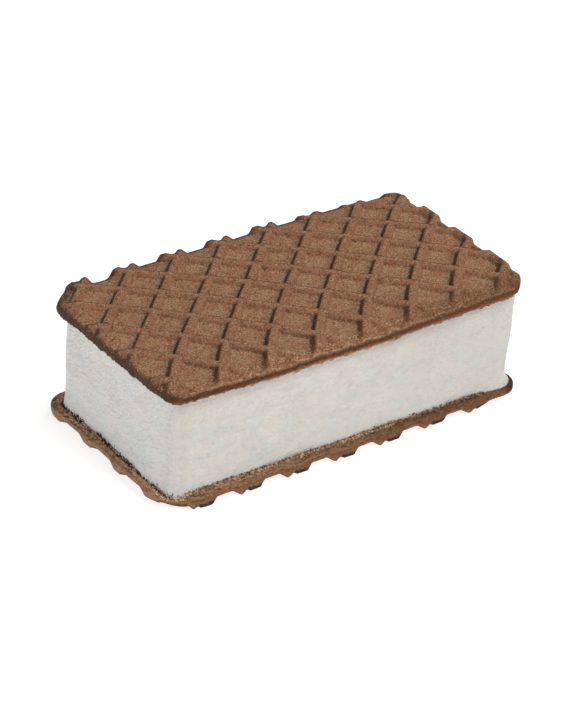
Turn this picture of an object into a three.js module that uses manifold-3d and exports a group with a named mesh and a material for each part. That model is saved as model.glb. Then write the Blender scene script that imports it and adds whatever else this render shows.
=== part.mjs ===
// Ice cream sandwich: a slab of plain ice cream between two waffle wafers.
// Millimetres, +Z up, +X along the length, origin under the middle of the
// whole, on the surface that the lower wafer's ridges stand on.

import * as THREE from "three";
import { mergeVertices } from "three/addons/utils/BufferGeometryUtils.js";
import Module from "manifold-3d";

const wasm = await Module();
wasm.setup();

// Wafers. Corner radii run back right, back left, front left, front right.
const waferLength = 110;
const waferWidth = 60;
const upperCorners = [4, 9, 7, 7];
const lowerCorners = [6, 10, 6, 6];
const floorThickness = 2.35; // wafer left under the floor of a pocket
const ridgeHeight = 1.5; // ridge top above the pocket floors
const ridgeTop = 1.1; // width of a ridge's flat top
const ridgeFoot = 3.7; // width of a ridge where it meets the floor
const diamond = 14.5; // corner to corner across one diamond of the pattern
const upperPattern = [-1.23, -0.5]; // a crossing, measured from the wafer's centre
const lowerPattern = [-3.0, -1.4];
const ridgeEndReach = 0.3; // how far ridge ends stand out past the edge
const edgeChamfer = 0.45;
const edgeTaper = 0.17; // share of the floor's thickness lost right at the edge
const edgeTaperWidth = 3.5;
const ridgeFade = 0.06; // share of the ridges' height lost at the edge
const ridgeFadeEnd = 0.6; // the same along the -X end
const edgeWave = 0.22; // unevenness of the edge line
const edgeStep = 1.6; // spacing of points along the edge
const waferCornerSteps = 6;

// Rolled rim along one long edge of each wafer
const rimTop = 1.7; // width of the rim's top
const rimFoot = 3.6; // from the edge to where the rim meets the pockets
const rimHeight = 1.3; // rim top above the pocket floors
const rimSpare = 3; // how far the uncut bar runs past the wafer

// Ice cream
const slabLength = 106.2;
const slabWidth = 52;
const slabHeight = 29.3;
const slabCorner = 2.4;
const slabLean = 1.4; // how much the +X end draws in below its head
const slabEndFlare = 1.7; // spread at the foot of that end
const slabFlare = 0.3; // spread at the foot all round
const slabWave = 0.3; // unevenness of the sides
const slabCornerSteps = 5;
const slabSideStep = 4.2;
const slabLevels = 9;

// How the pieces lie on each other
const contactGap = 0.04;
const lowerWaferShift = [0.4, 1.8];
const lowerWaferTurn = THREE.MathUtils.degToRad(-0.4);
const upperWaferShift = [0, 0.75];
const slabShift = [1, 0.4];

const waferThickness = floorThickness + ridgeHeight;
const pitch = diamond / Math.SQRT2; // between the middles of parallel ridges

// ---------------------------------------------------------------- solids

function toManifold(geometry) {
  const bare = new THREE.BufferGeometry();
  bare.setAttribute("position", geometry.getAttribute("position"));
  bare.setIndex(geometry.getIndex());
  const merged = mergeVertices(bare, 1e-4);
  const mesh = new wasm.Mesh({
    numProp: 3,
    vertProperties: new Float32Array(merged.attributes.position.array),
    triVerts: new Uint32Array(merged.index.array),
  });
  return new wasm.Manifold(mesh);
}

function toGeometry(solid) {
  const mesh = solid.getMesh();
  const geometry = new THREE.BufferGeometry();
  geometry.setAttribute("position", new THREE.BufferAttribute(mesh.vertProperties, 3));
  geometry.setIndex(new THREE.BufferAttribute(mesh.triVerts, 1));
  return geometry;
}

function movePoints(geometry, move) {
  const position = geometry.getAttribute("position");
  const point = new THREE.Vector3();
  for (let i = 0; i < position.count; i++) {
    point.fromBufferAttribute(position, i);
    move(point);
    position.setXYZ(i, point.x, point.y, point.z);
  }
  return geometry;
}

// ---------------------------------------------------------------- wafer

// Distance from (x, y) in to the edge of a rectangle with rounded corners.
function depthInside(x, y, length, width, corners) {
  const quarter = y > 0 ? (x > 0 ? 0 : 1) : x < 0 ? 2 : 3;
  const corner = corners[quarter];
  const dx = Math.abs(x) - (length / 2 - corner);
  const dy = Math.abs(y) - (width / 2 - corner);
  const outside = Math.hypot(Math.max(dx, 0), Math.max(dy, 0));
  return corner - outside - Math.min(Math.max(dx, dy), 0);
}

// 1 on a ridge's middle line, 0 from its foot outwards.
function ridgeShare(x, y, [patternX, patternY]) {
  const alongA = (x - patternX + (y - patternY)) / Math.SQRT2 / pitch;
  const alongB = (y - patternY - (x - patternX)) / Math.SQRT2 / pitch;
  const offA = Math.abs(alongA - Math.round(alongA)) * pitch;
  const offB = Math.abs(alongB - Math.round(alongB)) * pitch;
  return Math.max(0, 1 - Math.min(offA, offB) / (ridgeFoot / 2));
}

// Slow unevenness of an edge, the same every time.
function wave(angle, seed) {
  const slow = Math.sin(5 * angle + seed);
  const quick = Math.sin(13 * angle + 2.3 * seed);
  return 0.6 * slow + 0.4 * quick;
}

// Points round a rectangle with rounded corners, anticlockwise from above.
// Side 0 faces +X, and corner k is at the end of side k.
function roundedOutline(length, width, corners, sideStep, cornerSteps) {
  const points = [];
  for (let turn = 0; turn < 4; turn++) {
    const corner = corners[turn];
    const cornerBefore = corners[(turn + 3) % 4];
    const along = turn % 2 ? length : width;
    const across = turn % 2 ? width : length;
    const start = (turn * Math.PI) / 2;
    const out = new THREE.Vector2(Math.cos(start), Math.sin(start));
    const on = new THREE.Vector2(-out.y, out.x);
    const straight = along - corner - cornerBefore;
    const steps = Math.round(straight / sideStep);
    for (let i = 0; i < steps; i++) {
      const t = (i / steps) * straight + cornerBefore - along / 2;
      points.push(out.clone().multiplyScalar(across / 2).addScaledVector(on, t));
    }
    const centre = out.clone().multiplyScalar(across / 2 - corner);
    centre.addScaledVector(on, along / 2 - corner);
    for (let i = 0; i < cornerSteps; i++) {
      const angle = start + ((i / cornerSteps) * Math.PI) / 2;
      const arm = new THREE.Vector2(Math.cos(angle), Math.sin(angle));
      points.push(arm.multiplyScalar(corner).add(centre));
    }
  }
  return points;
}

// The wafer's outline as a block: ridge ends stand out a little.
function waferBlock(corners, pattern, seed) {
  const plain = roundedOutline(waferLength, waferWidth, corners, edgeStep, waferCornerSteps);
  const outline = plain.map((point, i) => {
    const before = plain[(i + plain.length - 1) % plain.length];
    const after = plain[(i + 1) % plain.length];
    const out = new THREE.Vector2(after.y - before.y, before.x - after.x).normalize();
    const angle = Math.atan2(point.y, point.x);
    const reach = ridgeEndReach * ridgeShare(point.x, point.y, pattern);
    return point.clone().addScaledVector(out, reach + edgeWave * wave(angle, seed));
  });
  return new THREE.ExtrudeGeometry(new THREE.Shape(outline), {
    depth: waferThickness - 2 * edgeChamfer,
    bevelEnabled: true,
    bevelThickness: edgeChamfer,
    bevelSize: edgeChamfer,
    bevelOffset: -edgeChamfer,
    bevelSegments: 1,
  }).translate(0, 0, edgeChamfer);
}

// A sheet wider than the wafer, ridged in both diagonal directions. Its grid
// lines run along the feet and the tops of the ridges.
function ridgedSheet([patternX, patternY]) {
  const reach = (waferLength + waferWidth) / 2 / Math.SQRT2 + pitch;
  const count = Math.ceil(reach / pitch);
  const lines = [];
  for (let k = -count; k <= count; k++) {
    lines.push({ at: k * pitch - ridgeFoot / 2, raised: 0 });
    lines.push({ at: k * pitch - ridgeTop / 2, raised: 1 });
    lines.push({ at: k * pitch + ridgeTop / 2, raised: 1 });
    lines.push({ at: k * pitch + ridgeFoot / 2, raised: 0 });
  }
  const n = lines.length;
  const position = [];
  const index = [];
  for (const upper of [true, false]) {
    for (const row of lines) {
      for (const column of lines) {
        const x = patternX + (row.at - column.at) / Math.SQRT2;
        const y = patternY + (row.at + column.at) / Math.SQRT2;
        const relief = ridgeHeight * Math.max(row.raised, column.raised);
        position.push(x, y, upper ? floorThickness + relief : 0);
      }
    }
  }
  const upperPoint = (i, j) => i * n + j;
  const lowerPoint = (i, j) => n * n + i * n + j;
  for (let i = 0; i < n - 1; i++) {
    for (let j = 0; j < n - 1; j++) {
      const corners = [[i, j], [i + 1, j], [i + 1, j + 1], [i, j + 1]];
      // The fold starts at a pocket's corner and climbs to the crossing.
      const low = corners.findIndex(([u, v]) => !lines[u].raised && !lines[v].raised);
      const first = Math.max(low, 0);
      const turned = [0, 1, 2, 3].map((k) => corners[(first + k) % 4]);
      const [a, b, c, d] = turned.map((corner) => upperPoint(...corner));
      const [a2, b2, c2, d2] = turned.map((corner) => lowerPoint(...corner));
      index.push(a, b, c, a, c, d);
      index.push(a2, c2, b2, a2, d2, c2);
    }
  }
  for (let i = 0; i < n - 1; i++) {
    const walls = [
      [upperPoint(i, 0), lowerPoint(i, 0), upperPoint(i + 1, 0), lowerPoint(i + 1, 0)],
      [upperPoint(n - 1, i), lowerPoint(n - 1, i), upperPoint(n - 1, i + 1), lowerPoint(n - 1, i + 1)],
      [upperPoint(i + 1, n - 1), lowerPoint(i + 1, n - 1), upperPoint(i, n - 1), lowerPoint(i, n - 1)],
      [upperPoint(0, i + 1), lowerPoint(0, i + 1), upperPoint(0, i), lowerPoint(0, i)],
    ];
    for (const [a, a2, b, b2] of walls) index.push(a, a2, b2, a, b2, b);
  }
  const geometry = new THREE.BufferGeometry();
  geometry.setAttribute("position", new THREE.Float32BufferAttribute(position, 3));
  geometry.setIndex(index);
  return geometry;
}

// The rim fills the cut pockets along the wafer's -Y edge.
function rimBar() {
  const edge = -waferWidth / 2;
  const top = floorThickness + rimHeight;
  const section = new THREE.Shape();
  section.moveTo(edge - rimSpare, 0);
  section.lineTo(edge + rimFoot, 0);
  section.lineTo(edge + rimFoot, floorThickness);
  section.lineTo(edge + rimTop, top);
  section.lineTo(edge - rimSpare, top);
  section.closePath();
  const length = waferLength + 2 * rimSpare;
  const bar = new THREE.ExtrudeGeometry(section, { depth: length, bevelEnabled: false });
  // The section is drawn across the bar: turn it to run along X.
  bar.rotateX(Math.PI / 2);
  bar.rotateZ(Math.PI / 2);
  bar.translate(-length / 2, 0, 0);
  return bar;
}

// Lies on its flat side at z = 0, ridges up, rolled rim towards -Y.
function waferGeometry(corners, pattern, seed) {
  const sheet = toManifold(ridgedSheet(pattern));
  const rim = toManifold(rimBar());
  const block = toManifold(waferBlock(corners, pattern, seed));
  const wafer = sheet.add(rim).intersect(block);
  return movePoints(toGeometry(wafer), (point) => {
    const depth = depthInside(point.x, point.y, waferLength, waferWidth, corners);
    const share = 1 - THREE.MathUtils.smoothstep(depth, 0, edgeTaperWidth);
    const endShare = 1 - THREE.MathUtils.smoothstep(point.x + waferLength / 2, 0, pitch);
    const fade = THREE.MathUtils.lerp(ridgeFade, ridgeFadeEnd, endShare);
    const floor = Math.min(point.z, floorThickness);
    const relief = point.z - floor;
    point.z = floor * (1 - edgeTaper * share) + relief * (1 - fade * share);
  });
}

// ---------------------------------------------------------------- ice cream

// How far the slab's side at (x, y) stands in or out, at height share t.
function slabSway(x, y, t) {
  const angle = Math.atan2(y / slabWidth, x / slabLength);
  const end = Math.max(0, x / (slabLength / 2)) ** 8;
  const spread = (slabFlare + slabEndFlare * end) * (1 - t) ** 6;
  const lean = slabLean * end * (1 - t);
  const ripple = wave(angle, 1.7 + 2.2 * t) + 0.5 * Math.sin(9 * t + 4 * angle);
  return spread - lean + slabWave * ripple;
}

function slabGeometry() {
  const corners = Array(4).fill(slabCorner);
  const outline = roundedOutline(slabLength, slabWidth, corners, slabSideStep, slabCornerSteps);
  const n = outline.length;
  const position = [];
  const index = [];
  for (let level = 0; level < slabLevels; level++) {
    const t = level / (slabLevels - 1);
    outline.forEach((point, i) => {
      const before = outline[(i + n - 1) % n];
      const after = outline[(i + 1) % n];
      const out = new THREE.Vector2(after.y - before.y, before.x - after.x).normalize();
      const place = point.clone().addScaledVector(out, slabSway(point.x, point.y, t));
      position.push(place.x, place.y, t * slabHeight);
    });
  }
  for (let level = 0; level < slabLevels - 1; level++) {
    for (let i = 0; i < n; i++) {
      const a = level * n + i;
      const b = level * n + ((i + 1) % n);
      index.push(a, b, b + n, a, b + n, a + n);
    }
  }
  const foot = slabLevels * n;
  const head = foot + 1;
  const lastRing = (slabLevels - 1) * n;
  position.push(0, 0, 0, 0, 0, slabHeight);
  for (let i = 0; i < n; i++) {
    const next = (i + 1) % n;
    index.push(foot, next, i);
    index.push(head, lastRing + i, lastRing + next);
  }
  const geometry = new THREE.BufferGeometry();
  geometry.setAttribute("position", new THREE.Float32BufferAttribute(position, 3));
  geometry.setIndex(index);
  return geometry;
}

// ---------------------------------------------------------------- finishes

function waferMaterial() {
  return new THREE.MeshStandardMaterial({ color: 0x8c6548, roughness: 0.8, metalness: 0 });
}

function iceCreamMaterial() {
  return new THREE.MeshStandardMaterial({ color: 0xe6e3de, roughness: 0.6, metalness: 0 });
}

// ---------------------------------------------------------------- sandwich

const sandwich = new THREE.Group();

const lowerWafer = new THREE.Mesh(waferGeometry(lowerCorners, lowerPattern, 0.4), waferMaterial());
lowerWafer.name = "wafer_bottom";
lowerWafer.rotation.x = Math.PI; // ridges down, rolled rim at the back
lowerWafer.rotation.z = lowerWaferTurn;
lowerWafer.position.set(...lowerWaferShift, waferThickness);
sandwich.add(lowerWafer);

const slab = new THREE.Mesh(slabGeometry(), iceCreamMaterial());
slab.name = "ice_cream";
slab.position.set(...slabShift, waferThickness + contactGap);
sandwich.add(slab);

const upperWafer = new THREE.Mesh(waferGeometry(upperCorners, upperPattern, 2.1), waferMaterial());
upperWafer.name = "wafer_top";
upperWafer.position.set(...upperWaferShift, waferThickness + slabHeight + 2 * contactGap);
sandwich.add(upperWafer);

// Centre the whole over the origin.
const extent = new THREE.Box3().setFromObject(sandwich, true);
const middle = extent.getCenter(new THREE.Vector3());
for (const piece of sandwich.children) {
  piece.position.x -= middle.x;
  piece.position.y -= middle.y;
}

export default sandwich;
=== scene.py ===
import math
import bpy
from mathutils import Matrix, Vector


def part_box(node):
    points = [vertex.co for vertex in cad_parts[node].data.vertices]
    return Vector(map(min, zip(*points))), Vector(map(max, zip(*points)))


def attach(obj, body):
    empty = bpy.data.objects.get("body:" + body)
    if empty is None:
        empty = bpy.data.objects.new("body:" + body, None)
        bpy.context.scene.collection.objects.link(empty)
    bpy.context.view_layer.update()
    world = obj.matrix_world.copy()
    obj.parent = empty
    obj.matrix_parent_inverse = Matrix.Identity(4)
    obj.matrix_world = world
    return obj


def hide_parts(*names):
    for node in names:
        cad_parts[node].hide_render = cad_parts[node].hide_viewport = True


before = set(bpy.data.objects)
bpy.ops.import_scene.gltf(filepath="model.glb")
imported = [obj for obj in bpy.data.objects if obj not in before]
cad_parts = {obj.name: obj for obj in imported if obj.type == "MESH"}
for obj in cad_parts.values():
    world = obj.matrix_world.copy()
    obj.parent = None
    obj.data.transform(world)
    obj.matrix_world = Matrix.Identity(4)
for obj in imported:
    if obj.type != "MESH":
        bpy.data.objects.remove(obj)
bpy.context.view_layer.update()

from types import SimpleNamespace

import bpy
from mathutils import Matrix, Vector

mm = 0.001
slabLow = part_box("ice_cream")[0]
print("frame loaded:", sorted(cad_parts))


# Node trees. A Term is one output socket, and arithmetic on Terms adds Math nodes.

class Term:
    def __init__(self, net, node, out=0):
        self.net = net
        self.node = node
        self.socket = node.outputs[out]

    def output(self, out):
        return Term(self.net, self.node, out)

    def __add__(self, other):
        return self.net.math("ADD", self, other)

    def __sub__(self, other):
        return self.net.math("SUBTRACT", self, other)

    def __mul__(self, other):
        return self.net.math("MULTIPLY", self, other)

    def __truediv__(self, other):
        return self.net.math("DIVIDE", self, other)

    def __pow__(self, other):
        return self.net.math("POWER", self, other)

    def __gt__(self, other):
        return self.net.math("GREATER_THAN", self, other)

    def __lt__(self, other):
        return self.net.math("LESS_THAN", self, other)

    def __radd__(self, other):
        return self.net.math("ADD", other, self)

    def __rsub__(self, other):
        return self.net.math("SUBTRACT", other, self)

    def __rmul__(self, other):
        return self.net.math("MULTIPLY", other, self)

    def __rtruediv__(self, other):
        return self.net.math("DIVIDE", other, self)

    def __abs__(self):
        return self.net.math("ABSOLUTE", self)

    def sign(self):
        return self.net.math("SIGN", self)

    def atLeast(self, other):
        return self.net.math("MAXIMUM", self, other)

    def atMost(self, other):
        return self.net.math("MINIMUM", self, other)

    def smooth(self, low, high):  # 0 below low, 1 above high, an S curve between
        ends = {"Value": self, "From Min": low, "From Max": high}
        return self.net.add("ShaderNodeMapRange", {"interpolation_type": "SMOOTHSTEP"}, ends)

    def mixed(self, other, share):  # this value at share 0, the other at 1
        return self + (other - self) * share


class Net:
    def __init__(self, tree):
        self.tree = tree

    def add(self, kind, settings=None, inputs=None, out=0):
        node = self.tree.nodes.new(kind)
        for name, value in (settings or {}).items():
            setattr(node, name, value)
        for key, value in (inputs or {}).items():
            if isinstance(value, Term):
                self.tree.links.new(value.socket, node.inputs[key])
            else:
                node.inputs[key].default_value = value
        return Term(self, node, out) if node.outputs else None

    def math(self, operation, *values):
        return self.add("ShaderNodeMath", {"operation": operation}, dict(enumerate(values)))

    def vector(self, operation, *values, out=0):
        return self.add("ShaderNodeVectorMath", {"operation": operation}, dict(enumerate(values)), out)

    def scaled(self, vector, share):
        return self.add("ShaderNodeVectorMath", {"operation": "SCALE"}, {0: vector, "Scale": share})

    def split(self, vector):
        parts = self.add("ShaderNodeSeparateXYZ", inputs={0: vector})
        return parts, parts.output(1), parts.output(2)

    def join(self, x=0.0, y=0.0, z=0.0):
        return self.add("ShaderNodeCombineXYZ", inputs={0: x, 1: y, 2: z})

    def noise(self, place, size, seed=0.0, detail=2.0, roughness=0.5, stretch=None):
        if stretch:
            place = self.vector("MULTIPLY", place, stretch)
        return self.add("ShaderNodeTexNoise", {"noise_dimensions": "4D"}, {
            "Vector": place, "W": seed, "Scale": 1 / size, "Detail": detail, "Roughness": roughness})

    def colour(self, share, first, second):
        inputs = {0: share, 6: first, 7: second}
        return self.add("ShaderNodeMix", {"data_type": "RGBA", "clamp_factor": True}, inputs, 2)

    def ports(self, values):  # one named input of the group for each value
        kinds = {float: "NodeSocketFloat", int: "NodeSocketInt", tuple: "NodeSocketVector"}
        for name, value in values.items():
            kind = kinds.get(type(value), "NodeSocketMaterial")
            self.tree.interface.new_socket(name=name, in_out="INPUT", socket_type=kind)
        source = self.tree.nodes.new("NodeGroupInput")
        return {name: Term(self, source, name) for name in values}

    def keep(self, geometry, name, value):  # a named attribute that the material reads
        inputs = {"Geometry": geometry, "Name": name, "Value": value}
        return self.add("GeometryNodeStoreNamedAttribute", {"data_type": "FLOAT"}, inputs)

    def kept(self, name):
        return self.add("GeometryNodeInputNamedAttribute", {"data_type": "FLOAT"}, {"Name": name})

    def put(self, geometry, position):
        return self.add("GeometryNodeSetPosition", inputs={"Geometry": geometry, "Position": position})

    def push(self, geometry, offset):
        return self.add("GeometryNodeSetPosition", inputs={"Geometry": geometry, "Offset": offset})

    def end(self, geometry, material):  # realized, smooth and finished
        geometry = self.add("GeometryNodeRealizeInstances", inputs={0: geometry})
        geometry = self.add("GeometryNodeSetShadeSmooth", inputs={"Geometry": geometry})
        geometry = self.add("GeometryNodeSetMaterial", inputs={
            "Geometry": geometry, "Material": material})
        self.tree.interface.new_socket(
            name="Geometry", in_out="OUTPUT", socket_type="NodeSocketGeometry")
        sink = self.tree.nodes.new("NodeGroupOutput")
        self.tree.links.new(geometry.socket, sink.inputs[0])


def geometryNet(name):
    return Net(bpy.data.node_groups.new(name, "GeometryNodeTree"))


def grow(name, net, values, replaced=()):  # runs a tree once and keeps its plain mesh
    piece = bpy.data.objects.new(name, bpy.data.meshes.new(name))
    bpy.context.collection.objects.link(piece)
    modifier = piece.modifiers.new("shape", "NODES")
    modifier.node_group = net.tree
    for item in net.tree.interface.items_tree:
        if item.in_out == "INPUT":
            modifier[item.identifier] = values[item.name]
    graph = bpy.context.evaluated_depsgraph_get()
    mesh = bpy.data.meshes.new_from_object(piece.evaluated_get(graph))
    piece.modifiers.remove(modifier)
    piece.data = mesh
    mesh.name = name
    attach(piece, "root")
    if replaced:
        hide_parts(*replaced)
    print(name, "has", sum(len(face.vertices) - 2 for face in mesh.polygons), "triangles")
    return piece


def roundedRectangle(net, x, y, halfLength, halfWidth, corner):
    # x and y go from 0 to 1 across one quarter. Gives the place on a plate with that
    # corner rounded, and the outward direction, whose length is 1 along the edge.
    alongX, alongY = x * halfLength, y * halfWidth
    a = (alongX - (halfLength - corner)).atLeast(0.0) / corner
    b = (alongY - (halfWidth - corner)).atLeast(0.0) / corner
    outX = a * net.math("SQRT", 1 - b * b * 0.5)
    outY = b * net.math("SQRT", 1 - a * a * 0.5)
    placeX = alongX.atMost(halfLength - corner) + corner * outX
    placeY = alongY.atMost(halfWidth - corner) + corner * outY
    return placeX, placeY, outX, outY


def slowWave(net, angle, seed):
    slow = net.math("SINE", angle * 5 + seed)
    quick = net.math("SINE", angle * 13 + seed * 2.3)
    return slow * 0.6 + quick * 0.4


# Wafers: one press for both, drawn flat side down with the rolled rim towards -Y. The
# ridges of the steep family run along X = Y, those of the level family across it.

wafer = {
    "length": 110 * mm,
    "width": 60 * mm,
    "floor": 2.35 * mm,
    "ridgeHeight": 1.5 * mm,
    "ridgeTop": 1.3 * mm,
    "ridgeFoot": 3.4 * mm,
    "ridgeSoftness": 0.4,
    "endSoftness": 0.2,
    "ridgeBlend": 0.15,
    "pitch": 14.5 * mm / math.sqrt(2),  # between the middles of parallel ridges
    "patternX": -0.84 * mm,
    "patternY": -0.39 * mm,
    "patternWander": 0.22 * mm,
    "wanderSize": 9 * mm,
    "steepShift": 0.0,  # the steep family moved on its own
    "frontPullX": 1.2 * mm,  # how far the pattern is stretched at the edges
    "frontPullY": -3.0 * mm,
    "frontStart": 7.2 * mm,
    "backPullX": -1.6 * mm,
    "backPullY": -1.75 * mm,
    "backStart": 6 * mm,
    "rightPullY": 0.0,
    "rightReach": 8 * mm,
    "leftPullX": 0.0,
    "leftPullY": 0.0,
    "leftReach": 7 * mm,
    "strokeAt": 1.3 * mm,  # painted shade line beside each steep ridge, standing for its shadowed flank
    "strokeWidth": 0.74 * mm,
    "strokeWidthFront": 0.95 * mm,
    "strokeWaver": 2.2 * mm,
    "rimHeight": 0.4 * mm,
    "rimSlope": 0.8 * mm,
    "rimFoot": 1.7 * mm,
    "rimSoftness": 0.4 * mm,
    "edgeRound": 0.55 * mm,
    "edgeBulge": 0.75,  # powers that square the edge's section off
    "edgeSquare": 0.6,
    "edgeTaper": 0.17,  # share of the floor's thickness lost at the edges
    "edgeTaperWidth": 3.5 * mm,
    "leftTaper": 0.0,
    "edgeWave": 0.22 * mm,
    "leastCorner": 0.3,
    "lipCornerLeft": 1.0,  # corners of the lower lip, as a share of the face's
    "lipCornerRight": 1.0,
    "farFade": 0.0,  # how much the relief sinks towards +X, and from where to where
    "farFadeFrom": 39 * mm,
    "farFadeTo": 46 * mm,
    "ridgeFade": -0.15,  # share of the relief lost all round the edge, or gained below 0
    "ridgeFadeEnd": 0.5,  # at -X
    "frontFade": 0.4,  # at the front
    "frontFadeFrom": 21 * mm,
    "frontFadeTo": 27 * mm,
    "wornFade": 0.0,  # and at the worn stretch of the back edge
    "wornFrom": 16 * mm,
    "wornTo": 30 * mm,
    "wornLevel": 0.0,  # how much lower the level family stands there
    "wornDip": 0.0,  # and how far the edge itself has sunk
    "wornDipFrom": 36 * mm,
    "wornDipTo": 41 * mm,
    "crossFill": 0.0,  # height of the fill between ridge ends, as a share of a ridge's
    "crossFillRight": 1.0,
    "crossReach": 4.1 * mm,
    "crossReachRight": 6.4 * mm,
    "crossSlope": 1.2 * mm,
    "leftOpen": 0.0,  # share of that fill that is missing at -X
    "cornerFill": 0.0,  # height of the fill at the -X +Y corner
    "cornerFillFrom": 5 * mm,
    "cornerFillTo": 12 * mm,
    "dent": 0.0,  # a low place in the back edge
    "dentAt": -38.5 * mm,
    "dentReach": 5.0 * mm,
    "backFrom": 20 * mm,
    "endTopSteep": 0.5 * mm,  # width of each family's crests where they end at the edge
    "endTopLevel": 1.3 * mm,
    "endRaiseLevel": 0.0,  # how much higher the level family stands there
    "ridgeEndReach": 0.3 * mm,  # how far a ridge's end stands out of the edge
    "rightLift": 0.0,  # how much higher the +X edge stands
    "sag": 0.0,  # how far the rim hangs down, and where
    "sagWidth": 3.0 * mm,
    "sagLeft": 35 * mm,
    "sagRight": 55 * mm,
    "lipRise": 0.3,  # share of the edge's height that the torn lip takes
    "lipRings": 3,
    "lipDrop": 0.0,  # how far the lower lip hangs down at -X
    "lipDropFrom": 2 * mm,
    "lipDropTo": 14 * mm,
    "lipDropRings": 5,
    "lipAllRound": 0.0,  # 0 for a golden lip at the front only
    "teethSize": 0.7 * mm,
    "crumb": 0.08 * mm,  # depth of the baked crumb texture
    "blotchSize": 2.4 * mm,
    "grainSize": 0.75 * mm,
    "cellsX": 182,
    "cellsY": 98,
    "sideRings": 10,
    "ledgeRings": 9,
    "ledgeStep": 0.45 * mm,
    "mergeDistance": 0.002 * mm,
}
marks = {  # painted shade and shadow beside the ridges: distances from a ridge, and stretches along X or Y
    "besideFrom": (1.0 * mm, 1.6 * mm),
    "besideTo": (2.0 * mm, 4.2 * mm),
    "lineWidth": 0.6 * mm,
    "lineTo": (2 * mm, 9 * mm),
    "lineFadeX": (10 * mm, 28 * mm),
    "strokeFadeX": (14 * mm, 32 * mm),
    "strokeFadeY": (23 * mm, 27 * mm),
    "brinkFrom": 0.2 * mm,
    "brinkTo": 1.0 * mm,
}


def foldedPlate(net, p):
    # The middle of the grid is the baked face. The outer rings fold down to the edge,
    # under it, and in across the flat side.
    rings = p["sideRings"] + p["ledgeRings"] + 1
    spanX, spanY = (p["cellsX"] + rings) * 2, (p["cellsY"] + rings) * 2
    sheet = net.add("GeometryNodeMeshGrid", inputs={
        "Size X": spanX, "Size Y": spanY, "Vertices X": spanX + 1, "Vertices Y": spanY + 1})
    i, j, _ = net.split(net.add("GeometryNodeInputPosition"))
    ring = (abs(i) - p["cellsX"]).atLeast(abs(j) - p["cellsY"]).atLeast(0.0)
    inset = (ring - p["sideRings"]).atLeast(0.0) * p["ledgeStep"]
    halfX = p["length"] / 2 - p["edgeRound"] - inset
    halfY = p["width"] / 2 - p["edgeRound"] - inset
    right, back = i > 0.0, j > 0.0
    corner = p["frontLeft"].mixed(p["frontRight"], right).mixed(
        p["backLeft"].mixed(p["backRight"], right), back)
    lipCorner = p["lipCornerLeft"].mixed(p["lipCornerRight"], right)
    edge = (ring / p["sideRings"]).atMost(1.0)
    ringCorner = corner.mixed(corner * lipCorner, edge)
    innerCorner = (ringCorner - p["edgeRound"] - inset).atLeast(corner * p["leastCorner"])
    placeX, placeY, outX, outY = roundedRectangle(
        net, abs(i) / (p["cellsX"] + ring), abs(j) / (p["cellsY"] + ring), halfX, halfY, innerCorner)
    dx = placeX - (p["length"] / 2 - corner)
    dy = placeY - (p["width"] / 2 - corner)
    beyond = net.math("SQRT", dx.atLeast(0.0) ** 2 + dy.atLeast(0.0) ** 2)
    depth = corner - beyond - dx.atLeast(dy).atMost(0.0)  # how deep inside the outline
    return sheet, SimpleNamespace(
        ring=ring, edge=edge, depth=depth, middle=halfX - halfY,
        x=i.sign() * placeX, y=j.sign() * placeY, outX=i.sign() * outX, outY=j.sign() * outY)


def patternPlace(net, p, at):  # the pattern's own coordinates, stretched towards the edges
    x, y = at.x, at.y
    flat = net.join(x, y)
    wanderX = (net.noise(flat, p["wanderSize"], p["seed"]) - 0.5) * p["patternWander"] * 2
    wanderY = (net.noise(flat, p["wanderSize"], p["seed"] + 7) - 0.5) * p["patternWander"] * 2
    at.front = ((0 - y - p["frontStart"]) / (p["width"] / 2 - p["frontStart"])).atLeast(0.0) ** 2
    rear = y.smooth(p["backStart"], p["width"] / 2)
    fromX = x - p["patternX"] - at.front * at.front * p["frontPullX"] - rear * p["backPullX"] + wanderX
    fromY = y - p["patternY"] - at.front * p["frontPullY"] - rear * p["backPullY"] + wanderY
    at.atRight = x.smooth(p["length"] / 2 - p["rightReach"], p["length"] / 2)
    at.atLeft = 1 - (x + p["length"] / 2).smooth(0.0, p["leftReach"])
    fromX = fromX - at.atLeft * p["leftPullX"]
    fromY = fromY - at.atRight * p["rightPullY"] - at.atLeft * p["leftPullY"]
    return fromX, fromY


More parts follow.
